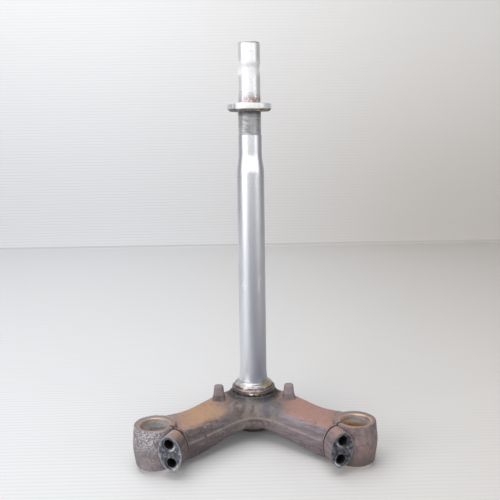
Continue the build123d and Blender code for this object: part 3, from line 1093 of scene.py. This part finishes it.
@dataclass
class Bridge:
    """The forged bridge: hub, arms, split fork clamps with pinch ears, and stops."""

    longest_edge: float = 2.8 * MM
    fine_edge: float = 1.5 * MM
    fine_band: float = 3.0 * MM
    fine_share: float = 1.15
    eye_height: float = 45.0 * MM
    bore_lip: float = 1.5 * MM
    slit_zone: float = 1.2 * MM
    slit_reach: float = 42.0 * MM
    ear_face_ahead: float = 30.95 * MM
    ear_face_band: float = 1.2 * MM
    ear_half: tuple[float, float] = (12.5 * MM, 18.8 * MM)
    ear_rim_share: tuple[float, float] = (0.89, 0.99)
    hole_zone: float = 5.4 * MM
    hole_sunk: float = 0.3 * MM
    seat_radius: float = 7.1 * MM
    seat_wall: float = 0.2 * MM
    seat_arc: tuple[float, float, float] = (5.6 * MM, 6.5 * MM, 7.3 * MM)
    seat_arc_towards: tuple[float, float] = (-0.65, -0.76)
    seat_arc_cosine: tuple[float, float] = (0.5, 0.95)
    parting_at_hub: float = -20.0 * MM
    parting_fall: tuple[float, float] = (5.25 * MM, 78.75 * MM)
    parting_width: float = 1.1 * MM
    parting_rise: float = 0.35 * MM
    parting_starts_behind: tuple[float, float] = (12.0 * MM, 24.0 * MM)
    parting_ends: tuple[float, float] = (84.0 * MM, 100.0 * MM)
    relief: float = 0.30 * MM
    dip_sizes: tuple[float, float] = (9.0 * MM, 3.4 * MM)
    pit_size: float = 2.6 * MM
    stop_foot: float = -0.8 * MM
    stop_inside: float = 24.0 * MM
    stop_margin: float = 4.0 * MM
    stop_rounds: int = 14
    crest_height: float = 0.28 * MM
    finish: ForgedFinish = ForgedFinish()

    def bolts(self, side: Side) -> tuple[Mount, Mount]:
        """The upper and lower pinch bolt of one fork clamp."""
        upper, lower = (Mount.named(f"pinch_bolt_{side.name.lower()}_{end}") for end in ("upper", "lower"))
        return upper, lower

    def ear_share(self, places: np.ndarray, bolts: tuple[Mount, Mount]) -> tuple[np.ndarray, np.ndarray]:
        """Sees places along a pinch ear's bolts, from the middle between the two.

        The share of the ear's oval is sqrt((a / half width)^2 + (b / half height)^2), so it is 1 on its edge.

        Args:
            places: Places, n by 3.
            bolts: The ear's bolts.

        Returns:
            How far ahead each place is, and its share of the oval.
        """
        upper, lower = bolts
        lean = (upper.place - lower.place) / np.linalg.norm(upper.place - lower.place)
        flat = places - (upper.place + lower.place) / 2
        wide, high = self.ear_half
        return flat @ upper.axis, np.hypot(flat @ np.cross(upper.axis, lean) / wide, flat @ lean / high)

    def ear_rim(self, places: np.ndarray) -> np.ndarray:
        """Marks the pale places on both ears' faces: the edges, partly rubbed and partly painted highlight, and
        painted glints.

        These are the oval's edge, and on each bolt seat the arc below the hole on the stem's side: there the
        distance from the bolt's axis is in the arc's range, and the direction within 60 degrees of its own.

        Args:
            places: Places, n by 3.

        Returns:
            Up to 1 on the oval's edge and up to 2 on the arcs, 0 elsewhere.
        """
        rim = np.zeros(len(places))
        starts, full, ends = self.seat_arc
        for side in Side:
            bolts = self.bolts(side)
            ahead, share = self.ear_share(places, bolts)
            on_face = abs(ahead - self.ear_face_ahead) < self.ear_face_band
            rim = np.maximum(rim, ease(share, *self.ear_rim_share) * on_face)
            # Painted glints: on each seat, an arc below the hole on the stem's side
            towards = np.array([self.seat_arc_towards[0] * side.value, 0.0, self.seat_arc_towards[1]])
            for bolt in bolts:
                out = places - bolt.place
                out = out - (out @ bolt.axis)[:, None] * bolt.axis
                off = np.linalg.norm(out, axis=1)
                cosine = out @ towards / np.maximum(off, 1e-9)
                arc = ease(off, starts, full) * (off < ends) * ease(cosine, *self.seat_arc_cosine)
                rim = np.maximum(rim, 2.0 * arc * on_face)
        return rim

    def zones(self, skin: Skin) -> dict[str, np.ndarray]:
        """Sorts the triangles into machined zones by their place and the way they face.

        Args:
            skin: The refined mesh.

        Returns:
            Marks for bore walls, ear faces, bolt holes, bolt seats' walls and slit walls.
        """
        centre, normal = skin.face_frames()
        found = {name: np.zeros(len(centre), bool) for name in ("bore", "ear", "hole", "seat", "slit")}
        for side in Side:
            clamp = Mount.named(f"fork_clamp_{side.name.lower()}")
            bolts = self.bolts(side)
            out = centre - clamp.place
            away = np.hypot(out[:, 0], out[:, 1])
            inward = (out[:, :2] * normal[:, :2]).sum(axis=1) < -0.3 * away
            in_bore = (away < clamp.radius + self.bore_lip) & (abs(out[:, 2]) < self.eye_height / 2)
            found["bore"] |= in_bore & inward
            ahead, share = self.ear_share(centre, bolts)
            axis = bolts[0].axis
            facing = normal @ axis
            on_face = abs(ahead - self.ear_face_ahead) < self.ear_face_band
            found["ear"] |= on_face & (share < 1.0) & (facing > 0.6)
            for bolt in bolts:
                along = (centre - bolt.place) @ bolt.axis
                off = np.linalg.norm(centre - bolt.place - along[:, None] * bolt.axis, axis=1)
                found["hole"] |= (off < self.hole_zone) & (along < self.ear_face_ahead - self.hole_sunk)
                wall = abs(off - self.seat_radius) < self.seat_wall
                wall &= along > self.ear_face_ahead - self.ear_face_band
                found["seat"] |= wall & (abs(facing) < 0.5)
            in_slit = (abs(out @ axis) < self.slit_zone) & (away < self.slit_reach)
            found["slit"] |= in_slit & (abs(facing) > 0.9)
        found["slit"] &= ~found["hole"]
        return found

    def edge_limit(self, places: np.ndarray) -> np.ndarray:
        """Sets the longest edge: finer on the ears' faces, round the stops and along the parting line.

        Args:
            places: The edges' middles, n by 3.

        Returns:
            The longest edge that may stay at each place.
        """
        fine = abs(places[:, 2] - self.parting_line(places)) < self.fine_band
        near_stop = places[:, 2] > self.stop_foot - self.stop_margin
        fine |= near_stop & (abs(places[:, 0]) > self.stop_inside - self.stop_margin)
        for side in Side:
            ahead, share = self.ear_share(places, self.bolts(side))
            fine |= (abs(ahead - self.ear_face_ahead) < self.fine_band) & (share < self.fine_share)
        return np.where(fine, self.fine_edge, self.longest_edge)

    def parting_line(self, places: np.ndarray) -> np.ndarray:
        """Follows the forging's parting line: a smooth fall from the hub to the middle of the fork clamps.

        Args:
            places: Places, n by 3.

        Returns:
            The line's height above or below each place.
        """
        eye_mid = Mount.named("fork_clamp_left").place[2]
        fall = ease(abs(places[:, 0]), *self.parting_fall)
        return self.parting_at_hub + (eye_mid - self.parting_at_hub) * fall

    def soften_stops(self, skin: Skin) -> None:
        """Evens out the places of the stops and their feet, which rounds their edges.

        Args:
            skin: The refined mesh, which is changed.
        """
        stops = (skin.places[:, 2] > self.stop_foot) & (abs(skin.places[:, 0]) > self.stop_inside)
        near = np.clip(4.0 * skin.spread(stops.astype(float), 10), 0.0, 0.6)
        skin.places = skin.spread(skin.places, self.stop_rounds, near[:, None])

    def dips(self, places: np.ndarray) -> np.ndarray:
        """Works out the forging's dips and pits: value noise of two sizes, and the peaks of a third.

        Args:
            places: Places, n by 3.

        Returns:
            The depth at each place.
        """
        broad, small = self.dip_sizes
        dips = lattice_noise(places, broad, 3) * 0.6 + lattice_noise(places, small, 7) * 0.4
        pits = ease(lattice_noise(places, self.pit_size, 11), 0.70, 0.92)
        return self.relief * (dips * 0.65 + pits * 0.35)

    def ridge(self, places: np.ndarray, normal: np.ndarray) -> np.ndarray:
        """Share of the parting ridge: exp(-(d / width)^2) at a height d off the line, on the arms' sides.

        Args:
            places: Places, n by 3.
            normal: The unit normals there.

        Returns:
            One value from 0 to 1 for each place.
        """
        off = places[:, 2] - self.parting_line(places)
        out = abs(places[:, 0])
        arms = np.where(normal[:, 1] < 0, 1.0, ease(out, *self.parting_starts_behind))
        arms = arms * (1.0 - ease(out, *self.parting_ends))
        return np.exp(-((off / self.parting_width) ** 2)) * ease(abs(normal[:, 1]), 0.5, 0.8) * arms

    def build(self) -> bpy.types.Object:
        """Makes the skin with its relief: dips and pits cut inwards, and a low ridge along the parting line.

        Returns:
            The finished piece.
        """
        skin = Skin.of_node("lower_bridge").refine(self.edge_limit)
        self.soften_stops(skin)
        zones = self.zones(skin)
        machined = skin.touched_by(np.any(list(zones.values()), axis=0))
        rough = skin.spread(np.where(machined, 0.0, 1.0), 2) * ~machined
        places, normal = skin.places, skin.point_normals()
        ridge = self.ridge(places, normal)
        rise = rough * (self.parting_rise * ridge - self.dips(places))
        moved = places + normal * rise[:, None]
        skin.places = np.clip(moved, *(np.array(corner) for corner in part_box("lower_bridge")))
        crest, hollow = skin.crests(self.crest_height, 2)
        skin.attributes = {
            "up": (Domain.POINT, normal[:, 2]),
            "back": (Domain.POINT, normal[:, 1]),
            "rim": (Domain.POINT, self.ear_rim(places)),
            "crest": (Domain.POINT, skin.spread(crest, 1)),
            "hollow": (Domain.POINT, skin.spread(hollow, 1)),
            "parting": (Domain.POINT, ridge * rough),
            **{name: (Domain.FACE, marks.astype(float)) for name, marks in zones.items()},
        }
        return dress(skin.to_object("bridge"), "lower_bridge", self.finish.material())


@dataclass
class Stem:
    """The steering stem: a turned tube with a swaged neck, a helical thread and a grooved bar end."""

    bore_radius: float = 11.5 * MM
    neck_radius: float = 12.8 * MM
    thread_radius: float = 12.5 * MM
    thread_depth: float = 0.55 * MM
    pitch: float = 1.0 * MM
    bar_bore: float = 7.5 * MM
    taper: tuple[float, float] = (246.5 * MM, 267.5 * MM)
    thread: tuple[float, float] = (287.0 * MM, 322.0 * MM)
    groove: tuple[float, float, float] = (356.5 * MM, 6.2 * MM, 0.85 * MM)
    flare: tuple[float, float, float] = (13.4 * MM, 27.0 * MM, 1.3 * MM)
    thread_run_in: float = 0.8 * MM
    thread_run_out: float = 1.2 * MM
    shoulder: float = 0.6 * MM
    bar_lip: float = 0.8 * MM
    foot_lip: float = 0.6 * MM
    top_round: float = 2.6 * MM
    foot_chamfer: float = 1.0 * MM
    flare_step: float = 0.2 * MM
    columns: int = 128
    rows_per_pitch: int = 9
    finish: StemFinish = StemFinish()

    def outside(self, z: np.ndarray, tube: float, bar: float) -> np.ndarray:
        """Radius by height: the tube, a smooth taper to the neck, the thread's cylinder, the grooved bar end.

        The flare above the race is s^2 of its width, with s falling from 1 to 0. The groove is
        cos^2(pi d / 2h) of its depth at a distance d from its middle, with h its half width.

        Args:
            z: Heights.
            tube: The tube's radius.
            bar: The bar end's radius.

        Returns:
            One radius for each height.
        """
        race_top, clear, wider = self.flare
        radius = tube + (self.neck_radius - tube) * ease(z, *self.taper)
        share = np.clip((clear - z) / (clear - race_top), 0.0, 1.0)
        radius = radius + np.where(z >= race_top, wider * share ** 2, 0.0)
        radius = np.where(z > self.thread[0], self.thread_radius, radius)
        fade = ease(z, self.thread[1] - self.shoulder, self.thread[1])
        radius = np.where(z > self.thread[0] + self.pitch, radius + (bar - self.thread_radius) * fade, radius)
        middle, half, depth = self.groove
        return radius - depth * np.cos(np.clip((z - middle) / half, -1.0, 1.0) * math.pi / 2) ** 2

    def build(self) -> bpy.types.Object:
        """Makes the tube: up the outside, over the rounded top, down the bore and across the foot.

        The thread cuts a triangle wave of (z / pitch - turn), which climbs to the right.

        Returns:
            The finished piece.
        """
        low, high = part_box("steering_stem")
        tube, foot, top = high.x, low.z, high.z
        bar = Mount.named("bar_end").radius
        thread_low, thread_high = self.thread
        flare_low, flare_high, _ = self.flare
        groove_low, groove_high = self.groove[0] - self.groove[1], self.groove[0] + self.groove[1]
        thread_rows = int(round((thread_high - thread_low) / self.pitch)) * self.rows_per_pitch
        spans = (
            (flare_low, flare_high, 12),
            (flare_high, self.taper[0], 16),
            (*self.taper, 28),
            (self.taper[1], thread_low, 6),
            (thread_low, thread_high, thread_rows),
            (thread_high, groove_low, 8),
            (groove_low, groove_high, 25),
        )
        z = np.concatenate([
            np.linspace(foot + self.foot_chamfer, flare_low - self.flare_step, 4),
            *(np.linspace(start, end, rows, endpoint=False) for start, end, rows in spans),
            np.linspace(groove_high, top - self.top_round, 6),
        ])
        turn = np.linspace(0, 1, self.columns, endpoint=False)
        wave = abs(((z[:, None] / self.pitch - turn) % 1.0) * 2.0 - 1.0)
        cut = ease(z, thread_low, thread_low + self.thread_run_in)
        cut = cut * (1.0 - ease(z, thread_high - self.thread_run_out, thread_high))
        outside = self.outside(z, tube, bar)[:, None] - self.thread_depth * cut[:, None] * wave
        bend = np.linspace(0, math.pi / 2, 8)[1:]
        cap = bar - self.top_round + self.top_round * np.cos(bend)
        bar_rows = np.linspace(top - self.bar_lip, self.taper[1], 4)
        inner_z = [top, *bar_rows, self.taper[0], foot + self.foot_lip, foot]
        inner_r = [self.bar_bore + self.bar_lip, *[self.bar_bore] * len(bar_rows)]
        inner_r += [self.bore_radius, self.bore_radius, self.bore_radius + self.foot_lip]
        rings = np.concatenate([cap, inner_r, [tube - self.foot_chamfer]])
        radius = np.concatenate([outside, np.repeat(rings[:, None], self.columns, axis=1)])
        height = np.concatenate([z, top - self.top_round + self.top_round * np.sin(bend), inner_z, [foot]])
        piece = turned("stem", radius, height, self.columns)
        return dress(piece, "steering_stem", self.finish.material())


@dataclass
class HeadBearing:
    """What sits at the stem's foot: the race with its turned rings, and the rubber seal under it."""

    longest_edge: float = 1.0 * MM
    ring_depth: float = 0.16 * MM
    ring_step: float = 0.9 * MM
    sag_depth: float = 0.2 * MM
    sag_size: float = 6.0 * MM
    race_finish: RaceFinish = RaceFinish()
    seal_finish: SealFinish = SealFinish()

    def build(self) -> list[bpy.types.Object]:
        """Makes both; the race's rings are value noise by height alone, and the seal's sag is value noise.

        Returns:
            The race and the seal.
        """
        race = Skin.of_node("lower_bearing_race").refine(self.longest_edge)
        by_height = race.places * np.array([0.0, 0.0, 1.0])
        cut = ease(lattice_noise(by_height, self.ring_step, 5), 0.35, 0.75)
        race.places = race.places - race.point_normals() * (self.ring_depth * cut)[:, None]
        seal = Skin.of_node("dust_seal").refine(self.longest_edge)
        sag = lattice_noise(seal.places, self.sag_size, 9) * self.sag_depth
        seal.places = seal.places - seal.point_normals() * sag[:, None]
        return [
            dress(race.to_object("race"), "lower_bearing_race", self.race_finish.material()),
            dress(seal.to_object("seal"), "dust_seal", self.seal_finish.material()),
        ]


@dataclass
class LockNut:
    """The slotted ring nut, with rubbed edges."""

    longest_edge: float = 0.7 * MM
    edge_rounds: int = 2
    crest_height: float = 0.12 * MM
    crease: float = 40.0
    finish: NutFinish = NutFinish()

    def build(self) -> bpy.types.Object:
        """Makes the nut: every place moves a little towards its neighbours, which rounds the edges.

        Returns:
            The finished piece.
        """
        skin = Skin.of_node("stem_nut").refine(self.longest_edge)
        crest, hollow = skin.crests(self.crest_height, 3)
        skin.places = skin.spread(skin.places, self.edge_rounds)
        skin.attributes = {"crest": (Domain.POINT, crest), "hollow": (Domain.POINT, hollow)}
        return dress(skin.to_object("nut", self.crease), "stem_nut", self.finish.material())


@dataclass(frozen=True)
class BoardFinish:
    """Pale fluted board, lighter and cooler on the left and darker and warmer on the right, partly its tone and
    partly painted light falling off from the left; painted lighter up the wall, with painted shade deepening
    towards the corner and a painted dark line of shade in the corner.
    """

    left: Colour = (0.715, 0.726, 0.744)
    right: Colour = (0.655, 0.624, 0.595)
    high: Colour = (0.930, 0.930, 0.935)
    far: Colour = (0.240, 0.238, 0.240)
    corner_shade: Colour = (0.430, 0.420, 0.410)
    dirt: Colour = (0.610, 0.590, 0.570)
    flute: float = 6.9 * MM

    def material(self, wall: float, corner: float) -> bpy.types.Material:
        """Builds the material; the flutes run along x on the floor and on the wall.

        Args:
            wall: How far back the wall stands.
            corner: How high its foot is.

        Returns:
            The material.
        """
        t = Tree("pale_board")
        height = t.z - corner
        soft = t.noise(0.35, 2.0)
        # Partly tone and partly painted light: lighter and cooler on the left, darker and warmer on the right
        colour = t.blend(self.left, self.right, (t.x + (soft - 0.5) * 0.15).ramp(-0.35, 0.55))
        wave = ((t.y + t.z * 0.93) * (math.tau / self.flute)).sine() * 0.5 + 0.5
        colour = t.blend(colour, self.dirt, wave ** 6.0 * 0.55 + t.specks(0.05, 0.12, 0.05) * 0.25)
        # Painted shade: darker towards the corner, more so on the right
        deep = t.y.ramp(-0.2, 0.60) * height.ramp(0.02, 0.62, 1.0, 0.0)
        colour = t.blend(colour, self.far, deep * (t.x.ramp(-0.1, 0.45) * 0.09 + 0.05))
        # Painted light: the wall is lighter higher up
        colour = t.blend(colour, self.high, height.ramp(0.10, 0.65) * 0.40)
        # Painted shade: a dark line along the corner
        off = abs(t.y - wall) + abs(height)
        colour = t.blend(colour, self.corner_shade, off.ramp(0.002, 0.006, 0.5, 0.0))
        return t.finish(base_color=colour, roughness=0.65)


@dataclass(frozen=True)
class Lamp:
    """A soft lamp: its place, the point that it faces, the width and height of its face, and its power."""

    name: str
    place: Place
    aim: Place
    size: tuple[float, float]
    watts: float

    def build(self) -> None:
        """Adds the lamp to the scene."""
        data = bpy.data.lights.new(self.name, "AREA")
        data.shape = "RECTANGLE"
        data.size, data.size_y = self.size
        data.energy = self.watts
        lamp = linked(self.name, data)
        lamp.location = self.place
        lamp.rotation_euler = (Vector(self.aim) - Vector(self.place)).to_track_quat("-Z", "Y").to_euler()


@dataclass
class Studio:
    """Pale floor and wall, soft lamps and the camera at the photograph's place."""

    lean: float = math.radians(7.5)
    wall_behind: float = 1.02
    wall_foot: float = 0.0
    wall_top: float = 0.95
    floor_bends: float = 0.06
    reach: tuple[float, float] = (-1.4, 1.2)
    front: float = 0.7
    board: BoardFinish = BoardFinish()
    sky: Colour = (0.62, 0.63, 0.65)
    sky_strength: float = 0.34
    lamps: tuple[Lamp, ...] = (
        Lamp("lamp_left", (-1.35, -1.0, 0.75), (0.0, 0.0, 0.15), (1.3, 1.5), 17.0),
        Lamp("lamp_right", (1.45, -0.95, 0.60), (0.0, 0.0, 0.20), (1.1, 0.9), 5.8),
        Lamp("lamp_front", (0.0, -2.2, 0.75), (0.0, 0.0, 0.25), (2.9, 0.5), 13.0),
        Lamp("lamp_over", (-0.32, -0.1, 1.5), (-0.1, 0.1, 0.0), (1.8, 1.2), 18.0),
    )
    focal_pixels: float = 700.0
    frame_pixels: float = 500.0
    sensor: float = 36.0
    pitch: float = 9.7
    roll: float = 0.86
    yaw: float = 0.9
    camera_place: Place = (-0.00166, -0.7638, 0.2922)

    def stage(self) -> None:
        """Floor and wall in one sheet: a profile in y and z, carried along x.

        The part leans back and rests on its clamps and its hub's foot, so here the floor rises instead: it
        climbs by y tan a from the lowest place, and behind the part by y tan a - k d^2, with d the distance
        from where it starts to bend, and ends at the wall's foot.
        """
        climb = math.tan(self.lean)
        touching = np.concatenate([Skin.of_node(node).places for node in ("lower_bridge", "steering_stem")])
        floor = (touching[:, 2] - climb * touching[:, 1]).min()
        y = np.array([-self.front, *np.linspace(self.floor_bends, self.wall_behind, 33)])
        beyond = np.maximum(y - self.floor_bends, 0.0)
        z = floor + climb * y
        z = z - (z[-1] - self.wall_foot) * (beyond / beyond[-1]) ** 2
        y, z = np.append(y, self.wall_behind), np.append(z, self.wall_top)
        x = np.array(self.reach)
        places = np.stack(np.broadcast_arrays(x[None, :], y[:, None], z[:, None]), axis=-1).reshape(-1, 3)
        row = np.arange(len(y) - 1) * 2
        mesh = bpy.data.meshes.new("studio_floor")
        mesh.from_pydata(places, [], np.stack([row, row + 1, row + 3, row + 2], axis=-1))
        mesh.polygons.foreach_set("use_smooth", np.arange(len(mesh.polygons)) < len(y) - 2)
        mesh.update()
        sheet = linked("studio_floor", mesh)
        mesh.materials.append(self.board.material(self.wall_behind, self.wall_foot))

    def light(self) -> None:
        """A pale even sky, a broad lamp on the left, weaker ones on the right and in front, one overhead."""
        world = bpy.data.worlds.new("studio_sky")
        world.use_nodes = True
        sky = next(n for n in world.node_tree.nodes if n.type == "BACKGROUND")
        sky.inputs["Color"].default_value = (*self.sky, 1.0)
        sky.inputs["Strength"].default_value = self.sky_strength
        bpy.context.scene.world = world
        for lamp in self.lamps:
            lamp.build()

    def camera(self) -> None:
        """Sets the camera: in front, pitched down, rolled, and turned with the part's own small yaw."""
        data = bpy.data.cameras.new("photo_camera")
        data.sensor_fit = "HORIZONTAL"
        data.sensor_width = self.sensor
        data.lens = self.sensor * self.focal_pixels / self.frame_pixels
        data.clip_start, data.clip_end = 0.01, 20.0
        camera = linked("photo_camera", data)
        turn = Matrix.Rotation(math.radians(-self.yaw), 4, "Z")
        down = Matrix.Rotation(math.radians(90.0 - self.pitch), 4, "X")
        roll = Matrix.Rotation(math.radians(-self.roll), 4, "Z")
        camera.matrix_world = turn @ Matrix.Translation(self.camera_place) @ down @ roll
        bpy.context.scene.camera = camera

    def build(self) -> None:
        """Makes the floor, the lamps and the camera, with the plain view transform."""
        bpy.context.scene.view_settings.view_transform = "Standard"
        self.stage()
        self.light()
        self.camera()


def main() -> None:
    """Builds the pieces in order, then the studio."""
    logging.basicConfig(level=logging.INFO, format="%(name)s: %(message)s")
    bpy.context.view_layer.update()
    Bridge().build()
    Stem().build()
    HeadBearing().build()
    LockNut().build()
    Studio().build()


if __name__ == "__main__":
    main()
